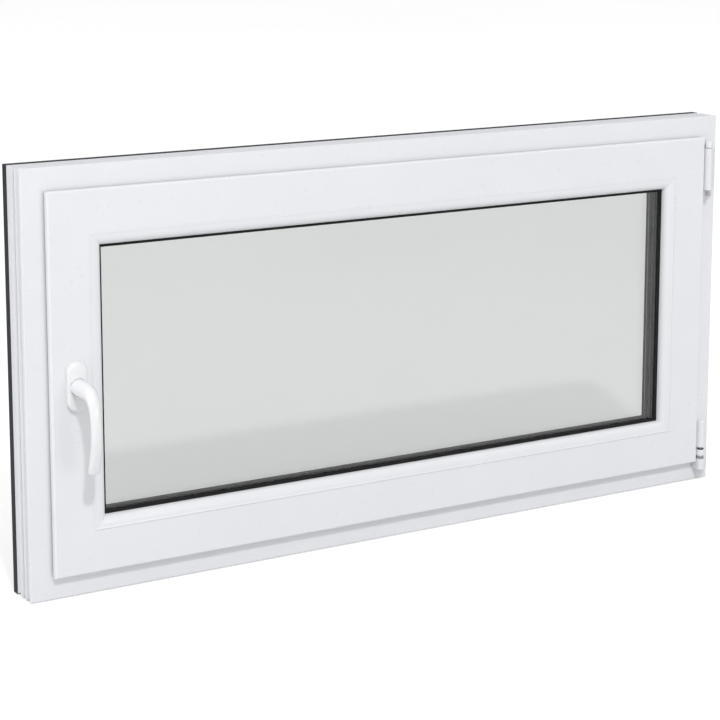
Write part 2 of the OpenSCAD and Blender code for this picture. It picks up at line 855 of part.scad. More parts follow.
// Gear with slim teeth so that it runs free in the rod's windows
module gearbox_pinion() {
    tooth = [[gear_r - 3, 1.1], [gear_r, 0.8], [gear_r + 1.1, 0.55]];
    color(zinc_steel) in_frame() translate([handle_x, 15, handle_z]) rotate([90, 0, 0]) difference() {
        union() {
            cylinder(h = 6, r = gear_r - 1.7);
            for (i = [0:gear_teeth - 1]) rotate(180 + i * 360 / gear_teeth) linear_extrude(6)
                polygon(concat(tooth, [for (k = [2:-1:0]) [tooth[k][0], -tooth[k][1]]]));
        }
        translate([-spindle_w / 2, -spindle_w / 2, -1]) cube([spindle_w, spindle_w, 8]);
    }
}

// ---------------------------------------------------------------- drive rods

module rod(side, ends) {
    on_side(side) block([ends[0], rod_y[0], rod_u], [ends[1], rod_y[1], rod_u + rod_t]);
}

module drive_rod_side() {
    color(zinc_steel) in_frame() difference() {
        rod(HANDLE, [-win_h / 2 + 80, win_h / 2 - 80 - rod_travel]);
        // windows between the rungs that the gear drives
        for (k = [-2:11], z = handle_z + k * gear_pitch)
            block([-win_w / 2 + rod_u - 1, 8.6, z - 1.4], [-win_w / 2 + rod_u + rod_t + 1, 15.4, z + 1.4]);
    }
}

module drive_rod_top() {
    color(zinc_steel) in_frame() rod(HEAD, [-(cam_top_x + 60), rod_start - 4 - rod_travel]);
}

module drive_rod_bottom() {
    color(zinc_steel) in_frame() rod(SILL, [-rod_start + 4, cams_bottom_x[1] + 60]);
}

module locking_cams(side, places) {
    for (p = places) {
        round_u(side, along_side(side, p), cam_y, cam_shaft_r, [cam_tip_u + 1, rod_u]);
        round_u(side, along_side(side, p), cam_y, cam_r, [cam_tip_u, sash_body - 0.6]);
    }
}

module locking_cams_side() {
    color(zinc_steel) in_frame() locking_cams(HANDLE, cams_side_z);
}

module locking_cam_top() {
    color(zinc_steel) in_frame() locking_cams(HEAD, [cam_top_x]);
}

module locking_cams_bottom() {
    color(zinc_steel) in_frame() locking_cams(SILL, cams_bottom_x);
}

// ---------------------------------------------------------------- stay

module stay_arm() {
    edge = win_w / 2 - sash_edge;
    color(zinc_steel) in_frame() difference() {
        union() {
            round_z(pin_x, -pin_out, 5, [stay_z - 0.9, stay_z + stay_t]);
            translate([0, 0, stay_z]) linear_extrude(stay_t)
                polygon([[pin_x, -pin_out], [pin_x, -0.6], [edge - 9, -0.6], [edge - 9, cam_y + 4],
                         [stud_x, cam_y + 4], [stud_x, cam_y - 4], [edge - 16, cam_y - 4],
                         [edge - 16, -2.9], [edge + 0.9, -2.9], [edge + 0.9, -pin_out + 2]]);
            round_z(stud_x, cam_y, 4, [stay_z, stay_z + stay_t]);
        }
        round_z(pin_x, -pin_out, pin_r + 0.05, [stay_z - 2, stay_z + stay_t + 1]);
        round_z(stud_x, cam_y, 1.5, [stay_z - 2, stay_z + stay_t + 1]);
    }
}

// Cap over the arm's eye, with a skirt that is open where the arm leaves it
module stay_arm_cap() {
    top = stay_z + stay_t;
    color(upvc_white) in_frame() difference() {
        round_z(pin_x, -pin_out, hinge_cover_r, [stay_z - 0.7, win_h - 38]);
        round_z(pin_x, -pin_out, 5.05, [stay_z - 2, top]);
        block([pin_x - 8, 1.6 - pin_out, stay_z - 2], [pin_x + 0.1, 1, top]);
    }
}

module stay_stud() {
    color(zinc_steel) in_frame() union() {
        round_z(stud_x, cam_y, 3, [stay_z - 10, stay_z]);
        round_z(stud_x, cam_y, 1.5, [stay_z - 1, stay_z + stay_t]);
    }
}

frame_sill();
frame_head();
frame_jamb_handle_side();
frame_jamb_hinge_side();
frame_outside_film();
frame_steel_long();
frame_steel_short();
frame_stop_gasket();
strike_plates();
strike_screws();
corner_bearing();
corner_bearing_cover();
stay_bearing();
stay_bearing_pin();
stay_bearing_cover();
bearing_screws();
hinge_washer();
drainage_caps();
corner_link();
sash_bottom_rail();
sash_top_rail();
sash_stile_handle_side();
sash_stile_hinge_side();
sash_outside_film();
sash_steel_rails();
sash_steel_stiles();
sash_overlap_gasket();
bead_bottom();
bead_top();
bead_handle_side();
bead_hinge_side();
inner_pane();
outer_pane();
spacer_bar();
glass_edge_seal();
glazing_gasket_inner();
glazing_gasket_outer();
glazing_packers();
corner_band();
corner_band_cover();
faceplate_handle_side();
faceplate_top();
faceplate_bottom();
corner_drives();
gearbox_housing();
handle_base();
handle_cover();
handle_screws();
handle_lever();
handle_spindle();
gearbox_pinion();
drive_rod_side();
drive_rod_top();
drive_rod_bottom();
locking_cams_side();
locking_cam_top();
locking_cams_bottom();
stay_arm();
stay_arm_cap();
stay_stud();
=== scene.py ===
"""Tilt-and-turn casement window: the looks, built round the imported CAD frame.

The bars are drawn as sections in mm, in points (u, depth): u runs inwards from the outer edge of
the frame, and depth runs outdoors from its room face.
"""
import json
import math

import bmesh
import bpy
from mathutils import Matrix, Vector


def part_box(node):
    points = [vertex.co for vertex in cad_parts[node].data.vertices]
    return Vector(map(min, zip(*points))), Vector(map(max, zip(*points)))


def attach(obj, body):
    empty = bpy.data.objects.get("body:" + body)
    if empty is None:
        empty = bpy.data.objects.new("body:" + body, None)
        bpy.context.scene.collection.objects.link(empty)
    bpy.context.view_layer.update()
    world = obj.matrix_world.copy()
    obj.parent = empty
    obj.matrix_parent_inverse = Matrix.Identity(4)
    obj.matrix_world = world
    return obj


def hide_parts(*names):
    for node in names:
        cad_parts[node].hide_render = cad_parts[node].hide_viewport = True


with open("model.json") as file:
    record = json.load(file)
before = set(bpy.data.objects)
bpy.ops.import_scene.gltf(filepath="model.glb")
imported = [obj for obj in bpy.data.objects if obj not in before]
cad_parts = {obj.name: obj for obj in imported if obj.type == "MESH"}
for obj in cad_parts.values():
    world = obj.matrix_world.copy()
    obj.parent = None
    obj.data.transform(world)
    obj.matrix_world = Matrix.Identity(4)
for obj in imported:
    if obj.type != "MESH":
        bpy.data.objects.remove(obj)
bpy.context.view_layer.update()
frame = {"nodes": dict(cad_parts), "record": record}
NODES = frame["nodes"]
MM = 0.001

# Places read off the frame
FRAME_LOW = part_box("frame_sill")[0]
FRAME_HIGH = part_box("frame_head")[1]
ROOM_Y = FRAME_LOW.y
HALF_W = FRAME_HIGH.x
TOTAL_H = FRAME_HIGH.z

# Depth of the spacer between the panes, in mm
SPACER_FRONT = 6
SPACER_BACK = 22


def link(obj):
    bpy.context.scene.collection.objects.link(obj)
    return obj


# ---------------------------------------------------------------- materials

class Nodes:
    """Builds one material's node tree, with the Principled shader ready."""

    def __init__(self, name):
        self.material = bpy.data.materials.new(name)
        self.material.use_nodes = True
        self.tree = self.material.node_tree
        self.shader = self.tree.nodes["Principled BSDF"]
        self.place = self.add("ShaderNodeTexCoord").outputs["Object"]
        self.normal = None

    def add(self, kind, **settings):
        node = self.tree.nodes.new(kind)
        for key, value in settings.items():
            setattr(node, key, value)
        return node

    def link(self, source, target):
        self.tree.links.new(source, target)

    def set(self, **values):
        """Sets shader inputs by name, with _ for each space."""
        for key, value in values.items():
            self.shader.inputs[key.replace("_", " ")].default_value = value

    def stretched(self, scale):
        """The object's own coordinates, scaled along each axis."""
        mapping = self.add("ShaderNodeMapping")
        mapping.inputs["Scale"].default_value = scale
        self.link(self.place, mapping.inputs["Vector"])
        return mapping.outputs["Vector"]

    def noise(self, scale, detail, stretch=(1, 1, 1), rough=0.5):
        texture = self.add("ShaderNodeTexNoise")
        texture.inputs["Scale"].default_value = scale
        texture.inputs["Detail"].default_value = detail
        texture.inputs["Roughness"].default_value = rough
        self.link(self.stretched(stretch), texture.inputs["Vector"])
        return texture.outputs["Fac"]

    def ramp(self, factor, low, high, dark, light):
        """A colour between dark and light as factor goes from low to high."""
        node = self.add("ShaderNodeValToRGB")
        node.color_ramp.elements[0].position = low
        node.color_ramp.elements[1].position = high
        node.color_ramp.elements[0].color = (*dark, 1)
        node.color_ramp.elements[1].color = (*light, 1)
        self.link(factor, node.inputs["Fac"])
        return node.outputs["Color"]

    def between(self, factor, low, high):
        """factor from 0 to 1 turned into a number from low to high."""
        node = self.add("ShaderNodeMapRange")
        node.inputs["To Min"].default_value = low
        node.inputs["To Max"].default_value = high
        self.link(factor, node.inputs["Value"])
        return node.outputs["Result"]

    def colour(self, factor, low, high, dark, light):
        self.link(self.ramp(factor, low, high, dark, light), self.shader.inputs["Base Color"])

    def roughness(self, factor, low, high):
        self.link(self.between(factor, low, high), self.shader.inputs["Roughness"])

    def relief(self, height, depth, strength):
        """A bump layer over those before it, with its depth in metres."""
        node = self.add("ShaderNodeBump")
        node.inputs["Distance"].default_value = depth
        node.inputs["Strength"].default_value = strength
        self.link(height, node.inputs["Height"])
        if self.normal is not None:
            self.link(self.normal, node.inputs["Normal"])
        self.normal = node.outputs["Normal"]
        self.link(self.normal, self.shader.inputs["Normal"])


def upvc_white():
    """Smooth extruded plastic with a slight wave and a soft shine."""
    m = Nodes("upvc_white")
    m.colour(m.noise(scale=14, detail=4), low=0.35, high=0.7,
             dark=(0.745, 0.755, 0.78), light=(0.76, 0.77, 0.79))
    m.roughness(m.noise(scale=60, detail=5, rough=0.65), low=0.24, high=0.34)
    m.set(Specular_IOR_Level=0.5, Coat_Weight=0.12, Coat_Roughness=0.12)
    m.relief(m.noise(scale=5, detail=2), depth=0.4 * MM, strength=0.05)
    m.relief(m.noise(scale=1400, detail=2), depth=0.01 * MM, strength=0.15)
    return m.material


def film_anthracite():
    """Embossed decor film: a fine uneven grain on a slightly uneven grey."""
    m = Nodes("film_anthracite")
    grain = m.noise(scale=70, detail=6, rough=0.7)
    m.colour(grain, low=0.3, high=0.75, dark=(0.012, 0.014, 0.017), light=(0.026, 0.029, 0.034))
    m.roughness(m.noise(scale=220, detail=4), low=0.5, high=0.66)
    m.set(Specular_IOR_Level=0.22)
    m.relief(grain, depth=0.25 * MM, strength=0.5)
    m.relief(m.noise(scale=1600, detail=3), depth=0.06 * MM, strength=0.5)
    return m.material


def cap_anthracite():
    m = Nodes("cap_anthracite")
    m.colour(m.noise(scale=200, detail=3), low=0.3, high=0.7,
             dark=(0.02, 0.022, 0.026), light=(0.03, 0.033, 0.038))
    m.roughness(m.noise(scale=300, detail=3), low=0.5, high=0.65)
    m.relief(m.noise(scale=2500, detail=2), depth=0.05 * MM, strength=0.5)
    return m.material


def hinge_cover_white():
    m = Nodes("hinge_cover_white")
    m.colour(m.noise(scale=40, detail=3), low=0.35, high=0.7,
             dark=(0.745, 0.755, 0.775), light=(0.765, 0.77, 0.785))
    m.roughness(m.noise(scale=150, detail=4), low=0.3, high=0.42)
    m.relief(m.noise(scale=1800, detail=2), depth=0.03 * MM, strength=0.3)
    return m.material


def handle_white():
    """Powder coat: a fine orange-peel surface."""
    m = Nodes("handle_white")
    m.colour(m.noise(scale=50, detail=3), low=0.35, high=0.7,
             dark=(0.775, 0.78, 0.795), light=(0.79, 0.795, 0.81))
    m.roughness(m.noise(scale=220, detail=4), low=0.2, high=0.3)
    m.set(Coat_Weight=0.25, Coat_Roughness=0.1)
    m.relief(m.noise(scale=700, detail=2, rough=0.4), depth=0.04 * MM, strength=0.35)
    return m.material


def nylon_white():
    m = Nodes("nylon_white")
    m.colour(m.noise(scale=80, detail=3), low=0.35, high=0.7,
             dark=(0.74, 0.74, 0.73), light=(0.78, 0.78, 0.77))
    m.roughness(m.noise(scale=200, detail=3), low=0.45, high=0.6)
    m.relief(m.noise(scale=1500, detail=2), depth=0.04 * MM, strength=0.3)
    return m.material


def black_rubber():
    m = Nodes("black_rubber")
    m.colour(m.noise(scale=120, detail=4), low=0.3, high=0.75,
             dark=(0.006, 0.006, 0.007), light=(0.014, 0.014, 0.015))
    m.roughness(m.noise(scale=400, detail=4), low=0.55, high=0.75)
    m.set(Specular_IOR_Level=0.2)
    m.relief(m.noise(scale=1800, detail=3), depth=0.05 * MM, strength=0.4)
    return m.material


def warm_edge_spacer():
    """Foam spacer: a pale band on its room side that is a painted highlight, dark outdoors, with a fine
    speckle.
    """
    m = Nodes("warm_edge_spacer")
    split = m.add("ShaderNodeSeparateXYZ")
    m.link(m.place, split.inputs["Vector"])
    depth = m.add("ShaderNodeMapRange")
    depth.inputs["From Min"].default_value = ROOM_Y + SPACER_FRONT * MM
    depth.inputs["From Max"].default_value = ROOM_Y + SPACER_BACK * MM
    m.link(split.outputs["Y"], depth.inputs["Value"])

    # (share of the depth, grey), with a slight green; the paler greys before 0.6 are a painted highlight on
    # the black spacer
    grey_and_highlight_tones = [(0, 0.04), (0.1, 0.12), (0.3, 0.26), (0.45, 0.3), (0.55, 0.24), (0.6, 0.02), (1, 0.018)]
    green, blue = 1.04, 1.02
    # this ramp paints the highlight band across the depth of the spacer
    band = m.add("ShaderNodeValToRGB")
    while len(band.color_ramp.elements) < len(grey_and_highlight_tones):
        band.color_ramp.elements.new(0.5)
    for element, (place, tone) in zip(band.color_ramp.elements, grey_and_highlight_tones):
        element.position = place
        element.color = (tone, tone * green, tone * blue, 1)
    m.link(depth.outputs["Result"], band.inputs["Fac"])

    speckle = m.add("ShaderNodeMix", data_type="RGBA", blend_type="MULTIPLY")
    speckle.inputs["Factor"].default_value = 0.35
    first, second = (socket for socket in speckle.inputs if socket.type == "RGBA")
    m.link(band.outputs["Color"], first)
    m.link(m.noise(scale=700, detail=3), second)
    m.link(next(s for s in speckle.outputs if s.type == "RGBA"), m.shader.inputs["Base Color"])
    m.roughness(m.noise(scale=300, detail=3), low=0.45, high=0.6)
    m.set(Specular_IOR_Level=0.25)
    m.relief(m.noise(scale=1200, detail=3), depth=0.06 * MM, strength=0.35)
    return m.material


def packer_blue():
    m = Nodes("packer_blue")
    m.colour(m.noise(scale=90, detail=3), low=0.3, high=0.7,
             dark=(0.03, 0.1, 0.26), light=(0.04, 0.13, 0.31))
    m.roughness(m.noise(scale=200, detail=3), low=0.4, high=0.55)
    m.relief(m.noise(scale=900, detail=2), depth=0.05 * MM, strength=0.3)
    return m.material


def galvanised_steel():
    """Hot-dip zinc: flat crystals of slightly different greys."""
    m = Nodes("galvanised_steel")
    spangle = m.add("ShaderNodeTexVoronoi")
    spangle.inputs["Scale"].default_value = 160
    m.link(m.place, spangle.inputs["Vector"])
    m.colour(spangle.outputs["Color"], low=0.1, high=0.9,
             dark=(0.42, 0.44, 0.46), light=(0.6, 0.62, 0.64))
    m.roughness(m.noise(scale=300, detail=4), low=0.3, high=0.5)
    m.set(Metallic=1.0)
    m.relief(m.noise(scale=500, detail=3), depth=0.04 * MM, strength=0.3)
    return m.material


def zinc_steel():
    """Bright zinc plate with fine drawing lines."""
    m = Nodes("zinc_steel")
    lines = m.noise(scale=90, detail=5, stretch=(1, 30, 30), rough=0.7)
    m.colour(m.noise(scale=40, detail=4), low=0.3, high=0.7,
             dark=(0.4, 0.41, 0.42), light=(0.52, 0.53, 0.54))
    m.roughness(lines, low=0.2, high=0.38)
    m.set(Metallic=1.0)
    m.relief(lines, depth=0.03 * MM, strength=0.25)
    return m.material


def clear_glass():
    """Float glass: a slight green tint, and weak reflections."""
    m = Nodes("clear_glass")
    m.colour(m.noise(scale=3, detail=2), low=0.3, high=0.7,
             dark=(0.765, 0.776, 0.77), light=(0.772, 0.782, 0.776))
    m.set(Roughness=0.0, IOR=1.5, Transmission_Weight=1.0, Specular_IOR_Level=0.08)
    return m.material


MATERIALS = {
    maker.__name__: maker() for maker in (
        upvc_white, film_anthracite, cap_anthracite, hinge_cover_white, handle_white, nylon_white,
        black_rubber, warm_edge_spacer, packer_blue, galvanised_steel, zinc_steel, clear_glass)
}


# ---------------------------------------------------------------- outlines

def arc(centre, radius, start, end, steps):
    """Points on a circle from start to end, in degrees."""
    angles = [math.radians(start + (end - start) * i / steps) for i in range(steps + 1)]
    return [(centre[0] + radius * math.cos(a), centre[1] + radius * math.sin(a)) for a in angles]


def bore_outline(centre, radius):
    """Points round a bore, each one once."""
    return arc(centre, radius, 0, 360, 32)[:-1]


def bezier(points, steps):
    """Points along the cubic curve through four control points."""
    a, b, c, d = (Vector(p) for p in points)
    ts = [i / steps for i in range(steps + 1)]
    return [tuple((1 - t) ** 3 * a + 3 * t * (1 - t) ** 2 * b + 3 * t * t * (1 - t) * c + t ** 3 * d)
            for t in ts]


def rounding(inward, up, steps=6):
    """(inset, rise) pairs over a rounded edge, from its upright side to its level side."""
    turns = [math.radians(90 * k / steps) for k in range(steps + 1)]
    return [(inward * (1 - math.cos(a)), up * math.sin(a)) for a in turns]


def circle(radius, count):
    """Points about the origin, from angle 0."""
    turns = [2 * math.pi * k / count for k in range(count)]
    return [(radius * math.cos(a), radius * math.sin(a)) for a in turns]


def box_outline(u_low, u_high, depth_low, depth_high):
    return [(u_low, depth_low), (u_high, depth_low), (u_high, depth_high), (u_low, depth_high)]


# ---------------------------------------------------------------- mesh helpers

def new_object(name, bm):
    mesh = bpy.data.meshes.new(name)
    bm.to_mesh(mesh)
    bm.free()
    return link(bpy.data.objects.new(name, mesh))


def solid(name, bm):
    """An object from closed mesh work, with its normals turned outwards."""
    bmesh.ops.recalc_face_normals(bm, faces=bm.faces)
    return new_object(name, bm)


def applied(obj):
    """Gives the object the mesh that its modifiers make, and takes the modifiers off."""
    graph = bpy.context.evaluated_depsgraph_get()
    mesh = bpy.data.meshes.new_from_object(obj.evaluated_get(graph))
    obj.modifiers.clear()
    obj.data = mesh
    return obj


def carve(obj, *blocks):
    """Cuts boxes out of an object. Each box is a low and a high corner in metres."""
    bm = bmesh.new()
    for low, high in blocks:
        low, high = Vector(low), Vector(high)
        made = bmesh.ops.create_cube(bm, size=1, matrix=Matrix.LocRotScale(
            (low + high) / 2, None, high - low))
        faces = list({face for vert in made["verts"] for face in vert.link_faces})
        bmesh.ops.recalc_face_normals(bm, faces=faces)
    cutter = new_object("cutter", bm)
    cut = obj.modifiers.new("cut", "BOOLEAN")
    cut.operation = "DIFFERENCE"
    cut.solver = "EXACT"
    cut.object = cutter
    applied(obj)
    bpy.data.objects.remove(cutter)


def shade(obj, sharp_from=34):
    """Smooth shading that keeps flat faces flat, and edges sharp from an angle in degrees."""
    obj.data.shade_smooth()
    obj.data.set_sharp_from_angle(angle=math.radians(sharp_from))
    weighted = obj.modifiers.new("weighted", "WEIGHTED_NORMAL")
    weighted.keep_sharp = True
    weighted.weight = 100


def paint(obj, slot):
    obj.data.materials.clear()
    obj.data.materials.append(MATERIALS[slot])


def stand_in(obj, body, slot, *nodes):
    """The object rides on a body and is shown in place of CAD nodes."""
    shade(obj)
    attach(obj, body)
    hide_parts(*nodes)
    paint(obj, slot)


def paint_cad_nodes():
    for part in frame["record"]["subparts"]:
        paint(NODES[part["node"]], part["material_slot"])


def strip(bm, first, second, closed=True):
    """Quads between two rows of vertices."""
    for i in range(len(first) if closed else len(first) - 1):
        j = (i + 1) % len(first)
        bm.faces.new((first[i], first[j], second[j], second[i]))


def loop_edges(bm, verts):
    """The edges round a closed row of vertices, made where they are missing."""
    pairs = [(verts[i], verts[(i + 1) % len(verts)]) for i in range(len(verts))]
    return [bm.edges.get(pair) or bm.edges.new(pair) for pair in pairs]


def fill(bm, *loops):
    """Closes the flat area inside the first row of vertices, leaving the others as holes."""
    edges = [edge for verts in loops for edge in loop_edges(bm, verts)]
    bmesh.ops.triangle_fill(bm, use_beauty=True, use_dissolve=False, edges=edges)


def loft(bm, rings):
    """A skin over rings of points with the same count, open at both ends."""
    rows = [[bm.verts.new(p) for p in ring] for ring in rings]
    for first, second in zip(rows, rows[1:]):
        strip(bm, first, second)
    return rows


# ---------------------------------------------------------------- mitred bars

def at_side(side, along, depth, u):
    """Place of a point on one side of the window, with its three distances in mm."""
    y = ROOM_Y + depth * MM
    middle = TOTAL_H / 2
    return Vector({
        "sill": (along * MM, y, u * MM),
        "head": (-along * MM, y, TOTAL_H - u * MM),
        "handle": (u * MM - HALF_W, y, middle - along * MM),
        "hinge": (HALF_W - u * MM, y, middle + along * MM),
    }[side])


def half_length(side):
    """Half the length of the frame on one side, in mm."""
    return (HALF_W if side in ("sill", "head") else TOTAL_H / 2) / MM


def mitred_bar(name, side, outlines):
    """A bar with a 45 degree mitre at each end: an outer outline and those of its chambers."""
    bm = bmesh.new()
    half = half_length(side)
    loops = []
    for outline in outlines:
        ends = [[bm.verts.new(at_side(side, sign * (half - u), depth, u)) for u, depth in outline]
                for sign in (-1, 1)]
        strip(bm, *ends)
        loops.append(ends)
    for end in (0, 1):
        fill(bm, *(ends[end] for ends in loops))
    return solid(name, bm)


def mitred_ring(name, outline):
    """The same outline run round all four sides, joined at the mitres into one closed ring."""
    bm = bmesh.new()
    corners = [[bm.verts.new(at_side(side, u - half_length(side), depth, u)) for u, depth in outline]
               for side in ("sill", "hinge", "head", "handle")]
    for i, corner in enumerate(corners):
        strip(bm, corner, corners[(i + 1) % len(corners)])
    return solid(name, bm)


ROUND_STEPS = 10
FILM = 0.5              # thickness of the outside film, which the CAD makes as its own piece

FRAME_EDGE = 1.2        # radius of the outer edge of the room face
FRAME_FACE = 40         # where the room face ends
REBATE_EDGE = 1.5       # radius of its inner edge
REBATE = 48             # depth of the stop that the sash shuts against
FRAME_INNER = 62        # inner edge of the outdoor lip
FRAME_BACK = 60
LIP_SLOPE = 3.7
GROOVE = 2.5            # depth of the grooves in the outer edge


def groove(outdoor, indoor):
    """One groove in the outer edge of the frame, drawn towards the room."""
    return [(0, outdoor), (GROOVE, outdoor), (GROOVE, indoor), (0, indoor)]


FRAME_OUTLINES = [
    arc((FRAME_EDGE, FRAME_EDGE), FRAME_EDGE, 180, 270, ROUND_STEPS)
    + arc((FRAME_FACE - REBATE_EDGE, REBATE_EDGE), REBATE_EDGE, 270, 360, ROUND_STEPS)
    # the stop, and the lip under its film
    + [(FRAME_FACE, REBATE), (FRAME_INNER, REBATE), (FRAME_INNER, REBATE + 1),
       (FRAME_INNER - FILM, REBATE + 1), (FRAME_INNER - FILM, FRAME_BACK - FILM - LIP_SLOPE),
       (FRAME_INNER - FILM - LIP_SLOPE, FRAME_BACK - FILM), (FILM, FRAME_BACK - FILM)]
    # the outer edge, where the film covers the first stretch
    + [(FILM, 47), (GROOVE, 47), (GROOVE, 35), (0, 35)] + groove(27, 20) + groove(14, 5),
    # chambers
    box_outline(5, 37, 3, 9.5),
    box_outline(5, 36.5, 12, 45.5),
    box_outline(3.5, 57.5, 50.5, 56.5),
]

SASH_EDGE = 32          # outer edge of the overlap on the frame
SASH_FACE = -13         # the sash stands this much into the room
SASH_ROUND = 3
SASH_ROUND_STEPS = 14
SASH_BODY = 52          # outer edge of the sash in the rebate
HARDWARE_LIP = 54.7     # lips that hold the faceplates
HARDWARE_FLOOR = 62
GLASS_SEAT = 92         # where the glass unit and the beads stand
GLASS_LEG = 112         # inner edge of the outdoor leg
SASH_BACK = 44
LEG_SLOPE = 6.7
OVERLAP_BACK = -3.5
GASKET_GROOVE = -5.5
OVERLAP_EDGE = 0.8

SASH_OUTLINES = [
    arc((SASH_EDGE + SASH_ROUND, SASH_FACE + SASH_ROUND), SASH_ROUND, 180, 270, SASH_ROUND_STEPS)
    # seat of the glass, with the groove that the beads snap into
    + [(GLASS_SEAT, SASH_FACE), (GLASS_SEAT, 1.4), (90, 1.4), (90, 3.4), (GLASS_SEAT, 3.4)]
    # outdoor leg under its film
    + [(GLASS_SEAT, 30), (GLASS_LEG, 30), (GLASS_LEG, 31), (GLASS_LEG - FILM, 31),
       (GLASS_LEG - FILM, SASH_BACK - FILM - LEG_SLOPE), (GLASS_LEG - FILM - LEG_SLOPE, SASH_BACK - FILM),
       (SASH_BODY + 1, SASH_BACK - FILM), (SASH_BODY + 1, SASH_BACK), (SASH_BODY, SASH_BACK)]
    # hardware groove
    + [(SASH_BODY, 20), (HARDWARE_LIP, 20), (HARDWARE_LIP, 18), (HARDWARE_FLOOR, 18),
       (HARDWARE_FLOOR, 6), (HARDWARE_LIP, 6), (HARDWARE_LIP, 4), (SASH_BODY, 4)]
    # back of the overlap, with the groove of its gasket
    + [(SASH_BODY, OVERLAP_BACK), (38, OVERLAP_BACK), (38, GASKET_GROOVE), (34.5, GASKET_GROOVE),
       (34.5, OVERLAP_BACK)]
    + arc((SASH_EDGE + OVERLAP_EDGE, OVERLAP_BACK - OVERLAP_EDGE), OVERLAP_EDGE, 90, 180, 5),
    # chambers
    box_outline(36, 89, -10.5, -7.5),
    box_outline(65, 88, -4.5, 27.5),
    box_outline(55, 88, 30, 41),
    box_outline(91, 105, 33, 40),
]

BEAD_OUTLINE = (
    # a small roll beside the sash, then the bowed face down to the glass
    bezier([(92.05, -12.7), (92.3, -13.5), (93.4, -13.6), (94.6, -13.15)], 6)
    + bezier([(95.4, -12.9), (103.5, -12.9), (110.2, -11), (110.6, -2.2)], 18)
    # the back, with the foot that snaps into the sash
    + [(106.6, -2.2), (106.6, 1.3), (95, 1.3), (95, 3.2), (90.3, 3.2), (90.3, 1.6), (92.05, 1.6)]
)

# A lip that curves down to the room face of the inner pane, at depth 2
GASKET_OUTLINE = [
    (107, -1.9), (110.7, -1.9), (112.2, -1.75), (113.5, -1.25), (114.4, -0.5), (115, 0.4), (115.2, 1.2),
    (115.2, 2), (107, 2)]

# A flat bar with two raised bands towards the middle of the window
SPACER_OUTLINE = [
    (102.5, SPACER_FRONT), (108.3, SPACER_FRONT), (108.3, 9.6), (109, 10), (109, 15.6), (108.4, 16),
    (108.4, 18.6), (108.9, 18.9), (108.9, 21.6), (108.5, SPACER_BACK), (102.5, SPACER_BACK)]


def frame_bars():
    names = {"sill": "frame_sill", "head": "frame_head", "handle": "frame_jamb_handle_side",
             "hinge": "frame_jamb_hinge_side"}
    for side, node in names.items():
        bar = mitred_bar("look_" + node, side, FRAME_OUTLINES)
        if side == "sill":
            carve(bar, *drain_slots())
        stand_in(bar, "frame", "upvc_white", node)


def drain_slots():
    """Slots through the sill's outside wall, behind the drainage caps."""
    half, bottom, top = 12 * MM, 12 * MM, 17 * MM
    inside, outside = FRAME_HIGH.y - 4 * MM, FRAME_HIGH.y + MM
    caps_low, caps_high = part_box("drainage_caps")
    cap_half = 17 * MM
    middles = (caps_low.x + cap_half, 0, caps_high.x - cap_half)
    return [((x - half, inside, bottom), (x + half, outside, top)) for x in middles]


def grown(node, margin):
    """A node's box, grown all round."""
    low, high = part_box(node)
    by = Vector((margin, margin, margin))
    return low - by, high + by


def sash_bars():
    names = {"sill": "sash_bottom_rail", "head": "sash_top_rail", "handle": "sash_stile_handle_side",
             "hinge": "sash_stile_hinge_side"}
    pocket = grown("corner_band", 0.4 * MM)
    gear = grown("gearbox_housing", 0.3 * MM)
    cuts = {"sill": pocket, "hinge": pocket, "handle": gear}
    for side, node in names.items():
        bar = mitred_bar("look_" + node, side, SASH_OUTLINES)
        if side in cuts:
            carve(bar, cuts[side])
        stand_in(bar, "sash", "upvc_white", node)


def glazing():
    beads = {"sill": "bead_bottom", "head": "bead_top", "handle": "bead_handle_side",
             "hinge": "bead_hinge_side"}
    for side, node in beads.items():
        stand_in(mitred_bar("look_" + node, side, [BEAD_OUTLINE]), "sash", "upvc_white", node)
    stand_in(mitred_ring("look_glazing_gasket_inner", GASKET_OUTLINE), "sash", "black_rubber",
             "glazing_gasket_inner")
    stand_in(mitred_ring("look_spacer_bar", SPACER_OUTLINE), "sash", "warm_edge_spacer",
             "spacer_bar")


# ---------------------------------------------------------------- handle

ROSE_LOW, ROSE_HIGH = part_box("handle_cover")
HANDLE_X = (ROSE_LOW.x + ROSE_HIGH.x) / 2
HANDLE_Z = (ROSE_LOW.z + ROSE_HIGH.z) / 2
SASH_FACE_Y = ROSE_HIGH.y

# Centre line of the lever in mm: distance from the sash face, height from the axis, half width
# across, half thickness, and how square the section is there (2 is an ellipse)
LEVER_LINE = [
    (7.4, 0, 12, 12, 2), (14, 0, 12, 12, 2), (20, 0, 11.9, 11.9, 2), (33, 0, 11.2, 11.6, 2),
    (45, -2, 10, 10.6, 2.05), (54, -9, 8.8, 8.6, 2.1), (60, -22, 7.9, 6.8, 2.2),
    (63, -40, 7.4, 6, 2.3), (63.5, -60, 7.5, 5.7, 2.35), (61, -80, 7.9, 5.5, 2.35),
    (56.5, -97, 8.3, 5.2, 2.3), (53.2, -107, 8.1, 4.9, 2.2), (52.2, -109.5, 6.8, 4, 2.1),
    (51.75, -110.5, 3.6, 2.1, 2), (51.7, -110.6, 1.2, 0.7, 2)]
LEVER_SIDES = 40
LEVER_STEPS = 7
COLLAR_R = 8
COLLAR_OUT = (1, 7.4)


def on_handle(x, up, out):
    """Place of a point given from the handle's axis on the sash face, in mm."""
    return Vector((HANDLE_X + x * MM, SASH_FACE_Y - out * MM, HANDLE_Z + up * MM))


def smooth_line(line, steps):
    """A Catmull-Rom curve through rows of numbers."""
    rows = []
    for i in range(len(line) - 1):
        a, b = line[max(i - 1, 0)], line[i]
        c, d = line[i + 1], line[min(i + 2, len(line) - 1)]
        for k in range(steps):
            t = k / steps
            rows.append([0.5 * (2 * q + (r - p) * t + (2 * p - 5 * q + 4 * r - s) * t * t
                                + (3 * q - p - 3 * r + s) * t ** 3)
                         for p, q, r, s in zip(a, b, c, d)])
    return rows + [list(line[-1])]


